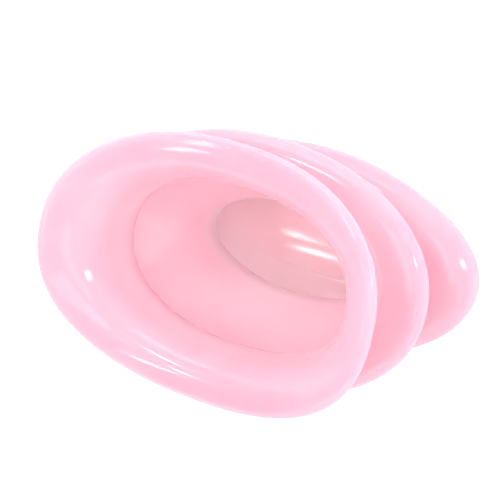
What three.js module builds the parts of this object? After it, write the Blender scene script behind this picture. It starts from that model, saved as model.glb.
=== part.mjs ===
// Silicone cupping cup: a thin oval bellows, closed at the bottom and flared at the mouth.
// Millimetres, +Z up. The cup stands on its closed end, X runs along the long way of the oval.
// The wall is one moulding on the real cup. Here it is divided at its fold lines, into the
// stiff rings and the thin webs between them, so that the folds can close.
import * as THREE from "three";

// Driving sizes. A station is an oval of the wall's middle surface: its two half-widths, its
// depth below the mouth plane, and the power of its superellipse (2 is a plain ellipse).
const CUP_HEIGHT = 48.5;
const WALL = 2;
const LIP = { long: 29.6, short: 20.6, depth: 1, power: 2.27 };
const FRONT_THROAT = { long: 22.8, short: 14.4, depth: 14, power: 2.2 };
const FRONT_RIM = { long: 30.9, short: 20.7, depth: 18.1, power: 2.1 };
const REAR_THROAT = { long: 17.3, short: 8.6, depth: 33.6, power: 2 };
const REAR_RIM = { long: 31, short: 16.8, depth: 39.2, power: 1.95 };
const END_LAND = { depth: 47.5, power: 2.2, fraction: 0.93 };

const FLARE_POWER = 2.3;
const LIP_SADDLE = 2.9;
const LIP_THICKENING = 0.25;
const REAR_RIM_RIB = 0.45;
const END_POWER = { long: 3.8, short: 2.1 };
const FOLD_RADIUS = { front: 1.8, middle: 3, rear: 2.7 };

const GAP = 0.35;
const SEGMENTS = 48;
const CAP_STEPS = 4;
const SMALL_STEP = 1e-3;
const SILICONE = { color: 0xffc3d8, roughness: 0.28, metalness: 0 };

const mix = (a, b, share) => a + (b - a) * share;
const signedPower = (x, power) => Math.sign(x) * Math.abs(x) ** power;

// The station that lies a share of the way from one oval to another, at its own depth.
function between(from, to, share, depth, extra = {}) {
  return {
    long: mix(from.long, to.long, share),
    short: mix(from.short, to.short, share),
    power: mix(from.power, to.power, share),
    depth,
    lift: 0,
    thickening: 0,
    ...extra,
  };
}

// The trumpet mouth: a quarter of a superellipse, level at the lip and upright at the throat.
function flare(t) {
  const turn = (1 - t) * (Math.PI / 2);
  const inward = Math.cos(turn) ** (2 / FLARE_POWER);
  const upward = Math.sin(turn) ** (2 / FLARE_POWER);
  const depth = mix(FRONT_THROAT.depth, LIP.depth, upward);
  const lift = LIP_SADDLE * (1 - inward);
  const thickening = LIP_THICKENING * (1 - t) ** 4;
  return between(LIP, FRONT_THROAT, inward, depth, { lift, thickening });
}

// A fold from one oval to a wider or narrower one: round, straight, then round the other way,
// and upright at both ends.
function fold(from, to, radius, extra = () => ({})) {
  const rise = to.depth - from.depth;
  const reach = Math.abs(to.long - from.long + to.short - from.short) / 2;
  const across = Math.hypot(reach - 2 * radius, rise);
  const web = Math.sqrt(across ** 2 - 4 * radius ** 2);
  const lean = Math.atan2(reach - 2 * radius, rise) + Math.atan2(2 * radius, web);
  const arc = radius * lean;
  const total = 2 * arc + web;
  const half = (travelled) => {
    const angle = Math.min(travelled / radius, lean);
    const past = Math.max(travelled - arc, 0);
    return {
      out: radius * (1 - Math.cos(angle)) + past * Math.sin(lean),
      down: radius * Math.sin(angle) + past * Math.cos(lean),
    };
  };
  return (t) => {
    const travelled = t * total;
    const first = half(travelled);
    const last = half(total - travelled);
    const nearEnd = travelled > arc + web;
    const out = nearEnd ? reach - last.out : first.out;
    const down = nearEnd ? rise - last.down : first.down;
    return between(from, to, out / reach, from.depth + down, extra(t));
  };
}

const frontFold = fold(FRONT_THROAT, FRONT_RIM, FOLD_RADIUS.front);
const middleFold = fold(FRONT_RIM, REAR_THROAT, FOLD_RADIUS.middle);
const rearFold = fold(REAR_THROAT, REAR_RIM, FOLD_RADIUS.rear, (t) => ({
  thickening: t === 1 ? REAR_RIM_RIB : 0,
}));

// The closed end: it turns in from the rear rim to a flat oval land.
function closedEnd(t) {
  const along = END_LAND.fraction * t;
  const narrow = (power) => (1 - along ** power) ** (1 / power);
  return {
    long: REAR_RIM.long * narrow(END_POWER.long),
    short: REAR_RIM.short * narrow(END_POWER.short),
    power: mix(REAR_RIM.power, END_LAND.power, along),
    depth: mix(REAR_RIM.depth, END_LAND.depth, t),
    lift: 0,
    thickening: t === 0 ? REAR_RIM_RIB : 0,
  };
}

// The flat oval that the cup stands on, from its edge to the middle.
function land(t) {
  const edge = closedEnd(1);
  return between(edge, { long: 0, short: 0, power: edge.power }, t, edge.depth);
}

const meanWidth = (station) => (station.long + station.short) / 2;

// The wall's direction at a point of a curve: out is away from the axis, down is into the cup.
function direction(curve, t) {
  const low = Math.max(t - SMALL_STEP, 0);
  const high = Math.min(t + SMALL_STEP, 1);
  const before = curve(low);
  const after = curve(high);
  const out = meanWidth(after) - meanWidth(before);
  const down = after.depth - before.depth;
  const length = Math.hypot(out, down);
  return { out: out / length, down: down / length, speed: length / (high - low) };
}

// The stations of one stretch of a curve, each with the wall's direction there.
function stretch({ curve, from, to, steps }) {
  const stations = [];
  for (let i = 0; i <= steps; i += 1) {
    const t = mix(from, to, i / steps);
    stations.push({ ...curve(t), ...direction(curve, t) });
  }
  return stations;
}

// The stretch's end is drawn back along the wall, to leave half the gap to the next piece.
function drawnBack(span, atStart) {
  const t = atStart ? span.from : span.to;
  const shift = GAP / 2 / direction(span.curve, t).speed;
  return atStart ? { ...span, from: t + shift } : { ...span, to: t - shift };
}

// A point of the wall on one of its two faces: side is 1 outside and -1 inside.
function facePoint(station, side) {
  const offset = side * (WALL / 2 + station.thickening);
  return {
    ...station,
    long: Math.max(station.long + offset * station.down, 0),
    short: Math.max(station.short + offset * station.down, 0),
    depth: station.depth - offset * station.out,
  };
}

// The rounded edge of the lip, from the outer face round to the inner one.
function lipCap(station) {
  const radius = WALL / 2 + station.thickening;
  const points = [];
  for (let i = 1; i < CAP_STEPS; i += 1) {
    const turn = (Math.PI * i) / CAP_STEPS;
    const beyond = radius * Math.sin(turn);
    const side = radius * Math.cos(turn);
    points.push({
      ...station,
      long: station.long + side * station.down - beyond * station.out,
      short: station.short + side * station.down - beyond * station.out,
      depth: station.depth - side * station.out - beyond * station.down,
    });
  }
  return points;
}

// The closed surface that a loop of oval stations sweeps round the axis.
function ovalSolid(loop, ringCloses) {
  const positions = [];
  for (const station of loop) {
    for (let j = 0; j < SEGMENTS; j += 1) {
      const turn = (2 * Math.PI * j) / SEGMENTS;
      const x = station.long * signedPower(Math.cos(turn), 2 / station.power);
      const y = station.short * signedPower(Math.sin(turn), 2 / station.power);
      const z = CUP_HEIGHT - station.depth + station.lift * Math.cos(2 * turn);
      positions.push(x, y, z);
    }
  }
  const indices = [];
  const strips = ringCloses ? loop.length : loop.length - 1;
  for (let i = 0; i < strips; i += 1) {
    const next = (i + 1) % loop.length;
    for (let j = 0; j < SEGMENTS; j += 1) {
      const beside = (j + 1) % SEGMENTS;
      const corners = [i, next].map((row) => [row * SEGMENTS + j, row * SEGMENTS + beside]);
      const [[a, b], [c, d]] = corners;
      indices.push(a, c, b, b, c, d);
    }
  }
  const geometry = new THREE.BufferGeometry();
  geometry.setAttribute("position", new THREE.Float32BufferAttribute(positions, 3));
  geometry.setIndex(indices);
  geometry.computeVertexNormals();
  return geometry;
}

// One piece of the wall, from a few stretches of the profile that follow each other.
function wallPiece(name, spans, { openLip = false, closedBottom = false } = {}) {
  const cut = spans.map((span, i) => {
    const started = i === 0 && !openLip ? drawnBack(span, true) : span;
    return i === spans.length - 1 && !closedBottom ? drawnBack(started, false) : started;
  });
  const stations = cut.flatMap((span, i) => stretch(span).slice(i === 0 ? 0 : 1));
  const outside = stations.map((station) => facePoint(station, 1));
  const inside = stations.map((station) => facePoint(station, -1));
  const cap = openLip ? lipCap(stations[0]) : [];
  const loop = [...inside.reverse(), ...cap.reverse(), ...outside];
  const material = new THREE.MeshStandardMaterial(SILICONE);
  const mesh = new THREE.Mesh(ovalSolid(loop, !closedBottom), material);
  mesh.name = name;
  return mesh;
}

const span = (curve, from, to, steps) => ({ curve, from, to, steps });

// The pieces, from the lip down to the closed end. Where two spans meet inside one piece,
// the wall runs through a throat or over a rim.
function mouthPieces() {
  return [
    wallPiece("mouth_lip", [span(flare, 0, 0.22, 2)], { openLip: true }),
    wallPiece("mouth_flare", [span(flare, 0.22, 0.8, 6)]),
    wallPiece("front_throat", [span(flare, 0.8, 1, 2), span(frontFold, 0, 0.3, 3)]),
  ];
}

function frontBulgePieces() {
  return [
    wallPiece("front_web", [span(frontFold, 0.3, 0.68, 2)]),
    wallPiece("front_rim", [span(frontFold, 0.68, 1, 3), span(middleFold, 0, 0.2, 3)]),
    wallPiece("middle_web", [span(middleFold, 0.2, 0.78, 4)]),
  ];
}

function rearBulgePieces() {
  return [
    wallPiece("rear_throat", [span(middleFold, 0.78, 1, 3), span(rearFold, 0, 0.26, 3)]),
    wallPiece("rear_web", [span(rearFold, 0.26, 0.74, 2)]),
    wallPiece("rear_rim", [span(rearFold, 0.74, 1, 3), span(closedEnd, 0, 0.3, 3)]),
    wallPiece("end_wall", [span(closedEnd, 0.3, 1, 6)]),
    wallPiece("end_land", [span(land, 0, 1, 1)], { closedBottom: true }),
  ];
}

const cup = new THREE.Group();
cup.add(...mouthPieces(), ...frontBulgePieces(), ...rearBulgePieces());

export default cup;
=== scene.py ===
import math

import bpy
from mathutils import Matrix, Vector


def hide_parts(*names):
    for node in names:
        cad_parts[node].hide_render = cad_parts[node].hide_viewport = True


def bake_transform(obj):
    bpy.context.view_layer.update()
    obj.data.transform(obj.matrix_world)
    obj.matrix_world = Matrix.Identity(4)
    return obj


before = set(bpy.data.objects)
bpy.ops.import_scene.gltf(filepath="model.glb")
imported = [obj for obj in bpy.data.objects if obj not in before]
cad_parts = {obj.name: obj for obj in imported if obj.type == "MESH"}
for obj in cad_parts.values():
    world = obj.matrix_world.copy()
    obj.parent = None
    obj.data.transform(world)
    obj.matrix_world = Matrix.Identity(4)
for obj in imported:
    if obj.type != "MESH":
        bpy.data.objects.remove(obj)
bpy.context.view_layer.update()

MM = 0.001
WHITE = (1.0, 1.0, 1.0, 1.0)

# Ovals of the wall's middle surface: half-widths, depth below the mouth plane, and the
# power of the superellipse, as the frame has them.
WALL = 2 * MM
LIP = {"long": 29.6 * MM, "short": 20.6 * MM, "depth": 1 * MM, "power": 2.27}
FRONT_THROAT = {"long": 22.8 * MM, "short": 14.4 * MM, "depth": 14 * MM, "power": 2.2}
FRONT_RIM = {"long": 30.9 * MM, "short": 20.7 * MM, "depth": 18.1 * MM, "power": 2.1}
REAR_THROAT = {"long": 17.3 * MM, "short": 8.6 * MM, "depth": 33.6 * MM, "power": 2.0}
REAR_RIM = {"long": 31 * MM, "short": 16.8 * MM, "depth": 39.2 * MM, "power": 1.95}
END_LAND = {"depth": 47.5 * MM, "power": 2.2, "fraction": 0.93}
FLARE_POWER = 2.3
LIP_SADDLE = 2.9 * MM
LIP_THICKENING = 0.25 * MM
REAR_RIM_RIB = 0.45 * MM
END_POWER = {"long": 3.8, "short": 2.1}
FOLD_RADIUS = {"front": 1.8 * MM, "middle": 3 * MM, "rear": 2.7 * MM}
CUP_HEIGHT = END_LAND["depth"] + WALL / 2

# Only the skin has these: how far the rear rim's rib spreads along the wall, and how thick
# and how high the inside of the closed end rounds up from the land.
RIB_WIDTH = 0.9 * MM
BOWL_FILL = 1.6 * MM
BOWL_HEIGHT = 6 * MM

# How finely the skin is made, how far its ovals are softened into each other, and the slight
# unevenness that a soft moulding has.
STATION_STEP = 0.55 * MM
CURVE_STEPS = 400
AROUND = 192
LIP_STEPS = 12
SOFTENING = 10
WAVINESS = 0.04 * MM
WAVE_LENGTH = 26 * MM
WAVE_SEED = 3.0

# A station this near to the depth of the land is part of it, and points this near to each
# other are joined.
LAND_MARGIN = 0.02 * MM
JOIN_DISTANCE = 0.001 * MM

# The attribute that says how far along the wall a point is, from the middle of the inside (0)
# up to the lip (0.5) and down the outside (1).
ALONG_WALL = "along_wall"


# ---------------------------------------------------------------- camera and stage

# The white room is brightest at the horizon. It fades between two values of the Z of the
# direction looked in.
HORIZON_BRIGHTNESS = 1.5
OVERHEAD_BRIGHTNESS = 0.4
HORIZON_EDGE = (0.06, 0.35)
FLOOR_HALF = 3.0
FLOOR_SHADE = 0.8
FLOOR_ROUGHNESS = 0.9
FLOOR_GLOW = 0.35
DIFFUSE_BOUNCES = 16
ALL_BOUNCES = 24
LIT_POINT = Vector((0, 0, 30)) * MM
SOFTBOX_DISTANCE = 0.8

# Each softbox: azimuth and elevation in degrees, width and height, and how bright its face is.
SOFTBOXES = {
    "key": (120, 9, 0.14, 0.14, 18),
    "front_fill": (121, 62, 0.55, 0.40, 3.0),
    "window": (105, 32, 0.95, 0.20, 2.2),
    "near_fill": (0, 26, 0.90, 0.30, 1.8),
    "far_fill": (245, 22, 0.90, 0.30, 1.3),
    "high_strip": (203, 51, 0.20, 0.07, 22),
    "low_strip": (193, 14, 0.43, 0.20, 3.0),
    "top_strip": (300, 70, 0.20, 0.06, 20),
    "bowl_strip": (248, 66, 0.10, 0.04, 34),
}

CAMERA_AZIMUTH = 121.4
CAMERA_ELEVATION = 61.3
CAMERA_ROLL = -106.4
CAMERA_DISTANCE = 278 * MM
CAMERA_LENS = 124.8
CAMERA_AIM = Vector((5.1, 5.5, 44.5)) * MM
CAMERA_CLIP = (0.01, 20)


def direction_from(azimuth, elevation):
    """The way from the cup to something at an azimuth and elevation in degrees."""
    azimuth = math.radians(azimuth)
    elevation = math.radians(elevation)
    level = math.cos(elevation)
    return Vector((math.sin(azimuth) * level, -math.cos(azimuth) * level, math.sin(elevation)))


def make_camera():
    """The camera looks down into the mouth, turned so that the long way lies across."""
    back = direction_from(CAMERA_AZIMUTH, CAMERA_ELEVATION)
    data = bpy.data.cameras.new("camera")
    data.lens = CAMERA_LENS
    data.clip_start, data.clip_end = CAMERA_CLIP
    camera = bpy.data.objects.new("camera", data)
    bpy.context.scene.collection.objects.link(camera)
    level = back.to_track_quat("Z", "Y").to_matrix().to_4x4()
    roll = Matrix.Rotation(math.radians(CAMERA_ROLL), 4, "Z")
    camera.matrix_world = Matrix.Translation(CAMERA_AIM + back * CAMERA_DISTANCE) @ level @ roll
    bpy.context.scene.camera = camera


def make_floor():
    """A wide, white floor that glows a little, as a lit sweep of paper does."""
    mesh = bpy.data.meshes.new("floor")
    corners = [(FLOOR_HALF * x, FLOOR_HALF * y, 0) for x, y in ((-1, -1), (1, -1), (1, 1), (-1, 1))]
    mesh.from_pydata(corners, [], [(0, 1, 2, 3)])
    floor = bpy.data.objects.new("floor", mesh)
    bpy.context.scene.collection.objects.link(floor)
    material = bpy.data.materials.new("white_paper")
    material.use_nodes = True
    shader = material.node_tree.nodes["Principled BSDF"]
    shader.inputs["Base Color"].default_value = (FLOOR_SHADE, FLOOR_SHADE, FLOOR_SHADE, 1)
    shader.inputs["Roughness"].default_value = FLOOR_ROUGHNESS
    shader.inputs["Emission Color"].default_value = WHITE
    shader.inputs["Emission Strength"].default_value = FLOOR_GLOW
    mesh.materials.append(material)


def make_softbox(name, azimuth, elevation, width, height, radiance):
    """A rectangular soft light of even brightness, which faces the cup from the side given."""
    back = direction_from(azimuth, elevation)
    data = bpy.data.lights.new(name, "AREA")
    data.shape = "RECTANGLE"
    data.size = width
    data.size_y = height
    data.energy = radiance * math.pi * width * height
    light = bpy.data.objects.new(name, data)
    bpy.context.scene.collection.objects.link(light)
    light.location = LIT_POINT + back * SOFTBOX_DISTANCE
    light.rotation_mode = "QUATERNION"
    light.rotation_quaternion = back.to_track_quat("Z", "Y")


def make_lights():
    """Plain studio light: a white room and the softboxes."""
    world = bpy.data.worlds.new("white_room")
    bpy.context.scene.world = world
    world.use_nodes = True
    nodes, links = world.node_tree.nodes, world.node_tree.links
    background = nodes["Background"]
    background.inputs["Color"].default_value = WHITE
    direction = nodes.new("ShaderNodeTexCoord")
    height = nodes.new("ShaderNodeSeparateXYZ")
    links.new(direction.outputs["Generated"], height.inputs["Vector"])
    fade = nodes.new("ShaderNodeMapRange")
    fade.interpolation_type = "SMOOTHSTEP"
    links.new(height.outputs["Z"], fade.inputs["Value"])
    fade.inputs["From Min"].default_value, fade.inputs["From Max"].default_value = HORIZON_EDGE
    fade.inputs["To Min"].default_value = HORIZON_BRIGHTNESS
    fade.inputs["To Max"].default_value = OVERHEAD_BRIGHTNESS
    links.new(fade.outputs["Result"], background.inputs["Strength"])
    for name, settings in SOFTBOXES.items():
        make_softbox(name, *settings)


# ---------------------------------------------------------------- the wall's profile

def mix(a, b, share):
    return a + (b - a) * share


def between(start, end, share, depth):
    """The oval a share of the way from one oval to another, at its own depth."""
    return {
        "long": mix(start["long"], end["long"], share),
        "short": mix(start["short"], end["short"], share),
        "power": mix(start["power"], end["power"], share),
        "depth": depth,
        "lift": 0.0,
        "thicker": 0.0,
    }


def flare(t):
    """The trumpet mouth, from the lip at 0 to the front throat at 1."""
    turn = (1 - t) * math.pi / 2
    inward = max(math.cos(turn), 0) ** (2 / FLARE_POWER)
    upward = max(math.sin(turn), 0) ** (2 / FLARE_POWER)
    oval = between(LIP, FRONT_THROAT, inward, mix(FRONT_THROAT["depth"], LIP["depth"], upward))
    oval["lift"] = LIP_SADDLE * (1 - inward)
    oval["thicker"] = LIP_THICKENING * (1 - t) ** 4
    return oval


def fold(start, end, radius):
    """A fold between two ovals: round, straight, then round the other way."""
    rise = end["depth"] - start["depth"]
    reach = abs(end["long"] - start["long"] + end["short"] - start["short"]) / 2
    across = math.hypot(reach - 2 * radius, rise)
    web = math.sqrt(across ** 2 - 4 * radius ** 2)
    lean = math.atan2(reach - 2 * radius, rise) + math.atan2(2 * radius, web)
    arc = radius * lean
    total = 2 * arc + web

    def half(travelled):
        angle = min(travelled / radius, lean)
        past = max(travelled - arc, 0)
        out = radius * (1 - math.cos(angle)) + past * math.sin(lean)
        down = radius * math.sin(angle) + past * math.cos(lean)
        return out, down

    def curve(t):
        travelled = t * total
        if travelled > arc + web:
            out, down = half(total - travelled)
            return between(start, end, 1 - out / reach, end["depth"] - down)
        out, down = half(travelled)
        return between(start, end, out / reach, start["depth"] + down)

    return curve


def closed_end(t):
    """The turn from the rear rim in to the edge of the flat land."""
    along = END_LAND["fraction"] * t

    def narrow(power):
        return (1 - along ** power) ** (1 / power)

    return {
        "long": REAR_RIM["long"] * narrow(END_POWER["long"]),
        "short": REAR_RIM["short"] * narrow(END_POWER["short"]),
        "power": mix(REAR_RIM["power"], END_LAND["power"], along),
        "depth": mix(REAR_RIM["depth"], END_LAND["depth"], t),
        "lift": 0.0,
        "thicker": 0.0,
    }


def land(t):
    """The flat land, from its edge to the middle."""
    edge = closed_end(1)
    centre = {"long": 0.0, "short": 0.0, "power": edge["power"]}
    return between(edge, centre, t, edge["depth"])


def mean_width(oval):
    return (oval["long"] + oval["short"]) / 2


def evenly(curve, step):
    """Ovals along a curve at even spacing, without its first one."""
    fine = [curve(i / CURVE_STEPS) for i in range(CURVE_STEPS + 1)]
    travelled = [0.0]
    for before, after in zip(fine, fine[1:]):
        out = mean_width(after) - mean_width(before)
        travelled.append(travelled[-1] + math.hypot(out, after["depth"] - before["depth"]))
    count = max(round(travelled[-1] / step), 2)
    ovals = []
    k = 0
    for i in range(1, count + 1):
        wanted = travelled[-1] * i / count
        while k < CURVE_STEPS - 1 and travelled[k + 1] < wanted:
            k += 1
        share = (wanted - travelled[k]) / (travelled[k + 1] - travelled[k])
        before, after = fine[k], fine[k + 1]
        ovals.append({key: mix(before[key], after[key], share) for key in before})
    return ovals


def wall_stations():
    """The whole wall, from the middle of the closed end up to the lip."""
    curves = [
        flare,
        fold(FRONT_THROAT, FRONT_RIM, FOLD_RADIUS["front"]),
        fold(FRONT_RIM, REAR_THROAT, FOLD_RADIUS["middle"]),
        fold(REAR_THROAT, REAR_RIM, FOLD_RADIUS["rear"]),
        closed_end,
        land,
    ]
    stations = [flare(0)]
    for curve in curves:
        stations += evenly(curve, STATION_STEP)
    for oval in stations:
        from_rim = (oval["depth"] - REAR_RIM["depth"]) / RIB_WIDTH
        oval["thicker"] += REAR_RIM_RIB * math.exp(-from_rim ** 2)
    return stations[::-1]


# ---------------------------------------------------------------- geometry nodes

class Value:
    """A number in a node tree that plain arithmetic works on."""

    def __init__(self, tree, socket):
        self.tree = tree
        self.socket = socket

    def math(self, operation, *others):
        node = self.tree.nodes.new("ShaderNodeMath")
        node.operation = operation
        for socket, value in zip(node.inputs, (self, *others)):
            if isinstance(value, Value):
                self.tree.links.new(value.socket, socket)
            else:
                socket.default_value = value
        return Value(self.tree, node.outputs[0])

    def __add__(self, other):
        return self.math("ADD", other)

    def __sub__(self, other):
        return self.math("SUBTRACT", other)

    def __mul__(self, other):
        return self.math("MULTIPLY", other)

    def __truediv__(self, other):
        return self.math("DIVIDE", other)


class Tree:
    """A geometry node tree with named inputs, and short words for its usual nodes."""

    def __init__(self, name):
        self.tree = bpy.data.node_groups.new(name, "GeometryNodeTree")
        for way in ("INPUT", "OUTPUT"):
            self.tree.interface.new_socket(
                "Geometry", in_out=way, socket_type="NodeSocketGeometry",
            )
        self.source = None
        self.identifiers = {}

    def add_input(self, name, kind, value=None):
        socket = self.tree.interface.new_socket(name, in_out="INPUT", socket_type=kind)
        if value is not None:
            socket.default_value = value
        self.identifiers[name] = socket.identifier

    def start(self):
        self.source = self.tree.nodes.new("NodeGroupInput")

    def given(self, name):
        return Value(self.tree, self.source.outputs[name])

    def node(self, kind, settings=None, **links):
        node = self.tree.nodes.new(kind)
        for key, value in (settings or {}).items():
            setattr(node, key, value)
        for key, value in links.items():
            socket = node.inputs[key.replace("_", " ")]
            if isinstance(value, Value):
                self.tree.links.new(value.socket, socket)
            else:
                socket.default_value = value
        return node

    def out(self, node, name=0):
        return Value(self.tree, node.outputs[name])


def signed_power(value, power):
    """A number's size to a power, with the number's own sign."""
    return value.math("ABSOLUTE").math("POWER", power) * value.math("SIGN")


def sample(tree, chain, attribute, index, kind="FLOAT"):
    """An attribute of the station chain at an index."""
    settings = {"data_type": kind, "domain": "POINT"}
    return tree.out(tree.node(
        "GeometryNodeSampleIndex", settings, Geometry=chain, Value=attribute, Index=index,
    ))


def named(tree, name):
    """An attribute that the station chain holds by name."""
    node = tree.node("GeometryNodeInputNamedAttribute", {"data_type": "FLOAT"}, Name=name)
    return tree.out(node)


def split(tree, vector):
    """The three parts of a vector."""
    node = tree.node("ShaderNodeSeparateXYZ", Vector=vector)
    return [tree.out(node, axis) for axis in "XYZ"]


def oval_wall_inputs(tree):
    """The tree's named inputs, with a plain cup's values."""
    tree.add_input("Wall Thickness", "NodeSocketFloat", 0.002)
    tree.add_input("Softening", "NodeSocketInt", 6)
    tree.add_input("Around", "NodeSocketInt", 64)
    tree.add_input("Lip Steps", "NodeSocketInt", 8)
    tree.add_input("Waviness", "NodeSocketFloat", 0.0)
    tree.add_input("Wave Length", "NodeSocketFloat", 0.02)
    tree.add_input("Seed", "NodeSocketFloat", 0.0)
    tree.add_input("Material", "NodeSocketMaterial")
    tree.start()


def softened_chain(tree, position):
    """The station chain with its corners softened, apart from stations whose eased is 0."""
    softened = tree.out(tree.node(
        "GeometryNodeBlurAttribute", {"data_type": "FLOAT_VECTOR"},
        Value=position, Iterations=tree.given("Softening"), Weight=named(tree, "eased"),
    ))
    return tree.out(tree.node(
        "GeometryNodeSetPosition", Geometry=tree.given("Geometry"), Position=softened,
    ))


def wall_run(tree, chain, position, station, last):
    """The way the wall runs up through a station: how much outwards and how much upwards."""
    next_one = (station + 1).math("MINIMUM", last)
    one_before = (station - 1).math("MAXIMUM", 0.0)
    above = split(tree, sample(tree, chain, position, next_one, "FLOAT_VECTOR"))
    below = split(tree, sample(tree, chain, position, one_before, "FLOAT_VECTOR"))
    run_out = (above[0] + above[1] - below[0] - below[1]) * 0.5
    run_up = above[2] - below[2]
    run = (run_out * run_out + run_up * run_up).math("SQRT")
    return run_out / run, run_up / run


def unevenness(tree, middle, share):
    """A small push of the wall to any side, the same on both of its faces.
    The share is 0 where the wall stays true."""
    noise = tree.node(
        "ShaderNodeTexNoise", {"noise_dimensions": "4D"}, Vector=middle,
        Scale=tree.given("Wave Length").math("POWER", -1.0), Detail=1.0, W=tree.given("Seed"),
    )
    centred = tree.node("ShaderNodeVectorMath", {"operation": "SUBTRACT"})
    tree.tree.links.new(noise.outputs["Color"], centred.inputs[0])
    centred.inputs[1].default_value = (0.5, 0.5, 0.5)
    push = tree.node(
        "ShaderNodeVectorMath", {"operation": "SCALE"}, Scale=tree.given("Waviness") * share,
    )
    tree.tree.links.new(centred.outputs[0], push.inputs[0])
    return tree.out(push)


def oval_wall_tree():
    """Sweeps a chain of ovals into a closed wall of even thickness with a rounded lip.
    A point of the chain holds one oval: X and Y are its half-widths and Z is its height."""
    tree = Tree("oval_wall")
    oval_wall_inputs(tree)
    position = tree.out(tree.node("GeometryNodeInputPosition"))
    chain = softened_chain(tree, position)
    count = tree.out(tree.node("GeometryNodeAttributeDomainSize", Geometry=chain), "Point Count")

    # The rows of the grid go up the inside, round the lip, and down the outside.
    lip_steps = tree.given("Lip Steps")
    around = tree.given("Around")
    rows = count * 2 + lip_steps - 1
    columns = around + 1
    grid = tree.node("GeometryNodeMeshGrid", Vertices_X=rows, Vertices_Y=columns)
    index = tree.out(tree.node("GeometryNodeInputIndex"))
    row = (index / columns).math("FLOOR")
    column = index - row * columns
    last = count - 1
    past_lip = (row - last - lip_steps).math("MAXIMUM", 0.0)
    station = row.math("MINIMUM", last) - past_lip

    # From one face to the other the wall's edge turns half round: outward goes from -1 to 1.
    round_lip = (row - last).math("MAXIMUM", 0.0).math("MINIMUM", lip_steps) / lip_steps
    outward = (round_lip * math.pi).math("COSINE") * -1.0
    onward = (round_lip * math.pi).math("SINE")
    inside = (outward * -1.0).math("MAXIMUM", 0.0)
    thicker = sample(tree, chain, named(tree, "thicker"), station)
    filled = sample(tree, chain, named(tree, "filled"), station)
    half = tree.given("Wall Thickness") * 0.5 + thicker + filled * inside
    run_out, run_up = wall_run(tree, chain, position, station, last)
    widen = half * (outward * run_up + onward * run_out)
    raise_by = half * (onward * run_up - outward * run_out)

    # Every row is a superellipse. The mouth's rows lift at the ends of the long way and dip
    # at the ends of the short way.
    oval = split(tree, sample(tree, chain, position, station, "FLOAT_VECTOR"))
    turn = column / around * (2 * math.pi)
    power = sample(tree, chain, named(tree, "power"), station).math("POWER", -1.0) * 2.0
    across = signed_power(turn.math("COSINE"), power)
    along = signed_power(turn.math("SINE"), power)
    saddle = sample(tree, chain, named(tree, "lift"), station) * (turn * 2.0).math("COSINE")
    place = tree.out(tree.node(
        "ShaderNodeCombineXYZ", X=(oval[0] + widen) * across, Y=(oval[1] + widen) * along,
        Z=oval[2] + raise_by + saddle,
    ))
    middle = tree.out(tree.node(
        "ShaderNodeCombineXYZ", X=oval[0] * across, Y=oval[1] * along, Z=oval[2],
    ))
    push = unevenness(tree, middle, sample(tree, chain, named(tree, "uneven"), station))

    shaped = tree.node(
        "GeometryNodeSetPosition", Geometry=tree.out(grid, "Mesh"), Position=place, Offset=push,
    )
    marked = tree.node(
        "GeometryNodeStoreNamedAttribute", {"data_type": "FLOAT", "domain": "POINT"},
        Geometry=tree.out(shaped), Name=ALONG_WALL, Value=row / (rows - 1),
    )
    joined = tree.node(
        "GeometryNodeMergeByDistance", Geometry=tree.out(marked), Distance=JOIN_DISTANCE,
    )
    smooth = tree.node("GeometryNodeSetShadeSmooth", Geometry=tree.out(joined))
    real = tree.node("GeometryNodeRealizeInstances", Geometry=tree.out(smooth))
    finish = tree.node(
        "GeometryNodeSetMaterial", Geometry=tree.out(real), Material=tree.given("Material"),
    )
    end = tree.tree.nodes.new("NodeGroupOutput")
    tree.tree.links.new(finish.outputs[0], end.inputs[0])
    return tree


def bowl_fill(oval):
    """How much thicker the closed end is inside, where it rounds up from the land to the wall."""
    spread = min(mean_width(oval) / mean_width(closed_end(1)), 1)
    above = min((END_LAND["depth"] - oval["depth"]) / BOWL_HEIGHT, 1)
    return BOWL_FILL * spread ** 2 * (1 - above) ** 2


def station_chain(stations):
    """A chain of points that holds the ovals: half-widths and height, and the rest by name.
    Where eased is 0 a station isn't softened, and where uneven is 0 the wall stays true."""
    mesh = bpy.data.meshes.new("cup_stations")
    points = [(s["long"], s["short"], CUP_HEIGHT - s["depth"]) for s in stations]
    edges = [(i, i + 1) for i in range(len(points) - 1)]
    mesh.from_pydata(points, edges, [])
    on_land = [s["depth"] > END_LAND["depth"] - LAND_MARGIN for s in stations]
    at_lip = [i == len(stations) - 1 for i in range(len(stations))]
    columns = {
        "power": [s["power"] for s in stations],
        "lift": [s["lift"] for s in stations],
        "thicker": [s["thicker"] for s in stations],
        "filled": [bowl_fill(s) for s in stations],
        "uneven": [0.0 if flat else 1.0 for flat in on_land],
        "eased": [0.0 if flat or lip else 1.0 for flat, lip in zip(on_land, at_lip)],
    }
    for name, values in columns.items():
        mesh.attributes.new(name, "FLOAT", "POINT").data.foreach_set("value", values)
    chain = bpy.data.objects.new("cup_stations", mesh)
    bpy.context.scene.collection.objects.link(chain)
    return chain


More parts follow.
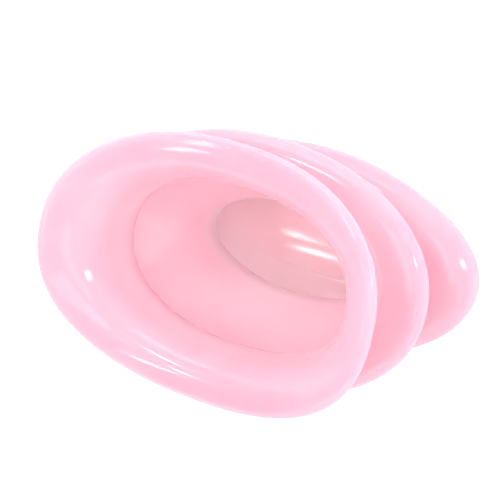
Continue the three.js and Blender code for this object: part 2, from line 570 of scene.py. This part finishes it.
def make_skin(material):
    """The whole cup as one closed mesh, from the node tree."""
    chain = station_chain(wall_stations())
    tree = oval_wall_tree()
    modifier = chain.modifiers.new("oval_wall", "NODES")
    modifier.node_group = tree.tree
    settings = {
        "Wall Thickness": WALL,
        "Softening": SOFTENING,
        "Around": AROUND,
        "Lip Steps": LIP_STEPS,
        "Waviness": WAVINESS,
        "Wave Length": WAVE_LENGTH,
        "Seed": WAVE_SEED,
        "Material": material,
    }
    for name, value in settings.items():
        modifier[tree.identifiers[name]] = value
    bpy.context.view_layer.update()
    evaluated = chain.evaluated_get(bpy.context.evaluated_depsgraph_get())
    mesh = bpy.data.meshes.new_from_object(evaluated)
    bpy.data.objects.remove(chain)
    mesh.name = "cup_skin"
    skin = bpy.data.objects.new("cup_skin", mesh)
    bpy.context.scene.collection.objects.link(skin)
    return skin


# ---------------------------------------------------------------- materials

# The pink at places along the wall, with painted light and painted shade in it. It is deeper at the
# lip and the rims, a painted shade where the lamps light the wall most. It is paler in the throats,
# inside and out, and
# the closed end: painted light that stands in for the light that comes through the wall into the
# shaded hollows.
PINK_AND_PAINTED_LIGHT = [
    (0.0, (0.97, 0.95, 0.97)),     # inside: middle of the closed end
    (0.21, (1.0, 0.94, 0.97)),     # rear throat, from below
    (0.25, (1.0, 0.57, 0.66)),     # rear throat, from above
    (0.32, (0.98, 0.45, 0.53)),    # front bulge
    (0.37, (1.0, 0.66, 0.76)),     # front throat, from below
    (0.405, (1.0, 0.60, 0.70)),    # front throat, from above
    (0.43, (1.0, 0.455, 0.54)),    # flare
    (0.465, (1.0, 0.405, 0.49)),   # mouth
    (0.50, (1.0, 0.345, 0.435)),   # lip
    (0.55, (1.0, 0.42, 0.54)),     # outside: flare
    (0.61, (1.0, 0.56, 0.66)),     # front throat
    (0.64, (1.0, 0.475, 0.575)),   # front bulge, from above
    (0.67, (1.0, 0.36, 0.47)),     # front rim
    (0.77, (1.0, 0.50, 0.61)),     # rear throat
    (0.83, (1.0, 0.475, 0.575)),   # rear bulge, from above
    (0.87, (1.0, 0.36, 0.47)),     # rear rim
    (1.0, (1.0, 0.47, 0.60)),      # middle of the land
]

# The clouding that the pink with its painted light and shade is multiplied by, the range of the
# roughness, and the grain.
CLOUD_SHADE = (0.97, 0.93, 0.95)
CLOUD_SIZE = 14 * MM
CLOUD_EDGES = (0.35, 0.65)
POLISH = (0.10, 0.16)
POLISH_SIZE = 5 * MM
POLISH_EDGES = (0.3, 0.7)
GRAIN_SIZE = 1.1 * MM
GRAIN_HEIGHT = 0.0012 * MM

# How strongly silicone bends light, and how far light travels inside it.
SILICONE_IOR = 1.41
LIGHT_REACH = 10 * MM


def color_ramp(nodes, stops):
    """A ramp node with a colour at each place of its list."""
    node = nodes.new("ShaderNodeValToRGB")
    elements = node.color_ramp.elements
    elements.remove(elements[1])
    elements[0].position, elements[0].color = stops[0][0], (*stops[0][1], 1)
    for place, color in stops[1:]:
        elements.new(place).color = (*color, 1)
    return node


def silicone():
    """Translucent pink silicone with painted light and shade along the wall: slightly clouded, and
    glossy with a faint moulded grain.
    """
    material = bpy.data.materials.new("pink_silicone")
    material.use_nodes = True
    nodes, links = material.node_tree.nodes, material.node_tree.links
    place = nodes.new("ShaderNodeTexCoord").outputs["Object"]

    def noise(size, detail):
        node = nodes.new("ShaderNodeTexNoise")
        links.new(place, node.inputs["Vector"])
        node.inputs["Scale"].default_value = 1 / size
        node.inputs["Detail"].default_value = detail
        return node.outputs["Fac"]

    shader = nodes["Principled BSDF"]
    shader.inputs["IOR"].default_value = SILICONE_IOR
    shader.inputs["Subsurface Weight"].default_value = 1.0
    shader.inputs["Subsurface Radius"].default_value = (1.0, 1.0, 1.0)
    shader.inputs["Subsurface Scale"].default_value = LIGHT_REACH

    along = nodes.new("ShaderNodeAttribute")
    along.attribute_name = ALONG_WALL
    # The pink along the wall carries painted light in the throats and closed end and painted shade
    # at the lip and rims.
    pink_and_painted_light = color_ramp(nodes, PINK_AND_PAINTED_LIGHT)
    links.new(along.outputs["Fac"], pink_and_painted_light.inputs["Fac"])
    clouds = color_ramp(nodes, [(CLOUD_EDGES[0], WHITE[:3]), (CLOUD_EDGES[1], CLOUD_SHADE)])
    links.new(noise(CLOUD_SIZE, 3), clouds.inputs["Fac"])
    clouded = nodes.new("ShaderNodeMix")
    clouded.data_type = "RGBA"
    clouded.blend_type = "MULTIPLY"
    clouded.inputs["Factor"].default_value = 1.0
    links.new(pink_and_painted_light.outputs["Color"], clouded.inputs["A"])
    links.new(clouds.outputs["Color"], clouded.inputs["B"])
    links.new(clouded.outputs["Result"], shader.inputs["Base Color"])

    polish = nodes.new("ShaderNodeMapRange")
    links.new(noise(POLISH_SIZE, 2), polish.inputs["Value"])
    polish.inputs["From Min"].default_value, polish.inputs["From Max"].default_value = POLISH_EDGES
    polish.inputs["To Min"].default_value, polish.inputs["To Max"].default_value = POLISH
    links.new(polish.outputs["Result"], shader.inputs["Roughness"])

    grain = nodes.new("ShaderNodeBump")
    links.new(noise(GRAIN_SIZE, 2), grain.inputs["Height"])
    grain.inputs["Strength"].default_value = 1.0
    grain.inputs["Distance"].default_value = GRAIN_HEIGHT
    links.new(grain.outputs["Normal"], shader.inputs["Normal"])
    return material


# ---------------------------------------------------------------- the cup

# Light has to find its way out of two nested chambers, so it may bounce often.
bpy.context.scene.view_settings.view_transform = "Standard"
bpy.context.scene.cycles.diffuse_bounces = DIFFUSE_BOUNCES
bpy.context.scene.cycles.max_bounces = ALL_BOUNCES
make_camera()
make_floor()
make_lights()

skin = make_skin(silicone())
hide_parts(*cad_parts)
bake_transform(skin)
